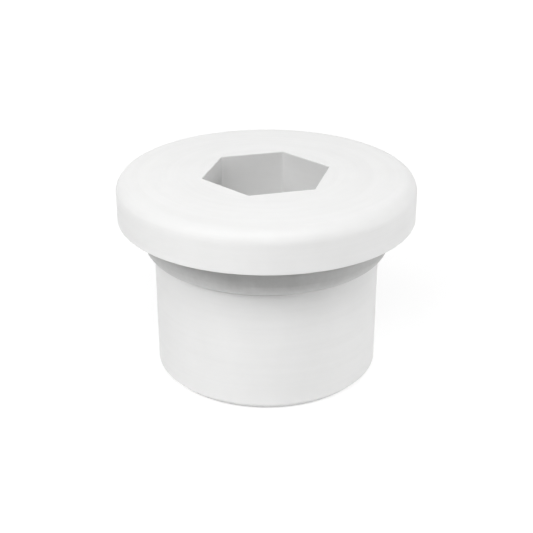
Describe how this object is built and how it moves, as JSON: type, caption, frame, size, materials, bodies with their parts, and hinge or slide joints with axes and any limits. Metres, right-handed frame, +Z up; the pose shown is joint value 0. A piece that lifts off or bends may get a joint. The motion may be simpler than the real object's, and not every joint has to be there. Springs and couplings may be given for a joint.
{
  "type": "hex socket plug",
  "caption": "Round-headed screw plug with a hexagon socket in its head, a smooth shank and an O-ring under the head, for closing a port.",
  "frame": {"origin": "centre of the shank's end face, which the plug stands on", "axes": "+Z up the plug's axis, out of the socket; X through two opposite corners of the hexagon"},
  "size_m": [0.021, 0.021, 0.0145],
  "materials": {
    "plug_plastic": "white polyamide, turned, fine satin",
    "ring_rubber": "light grey silicone rubber, dull"
  },
  "bodies": {
    "root": {"plug_body": "plug_plastic", "o_ring": "ring_rubber"}
  },
  "joints": []
}
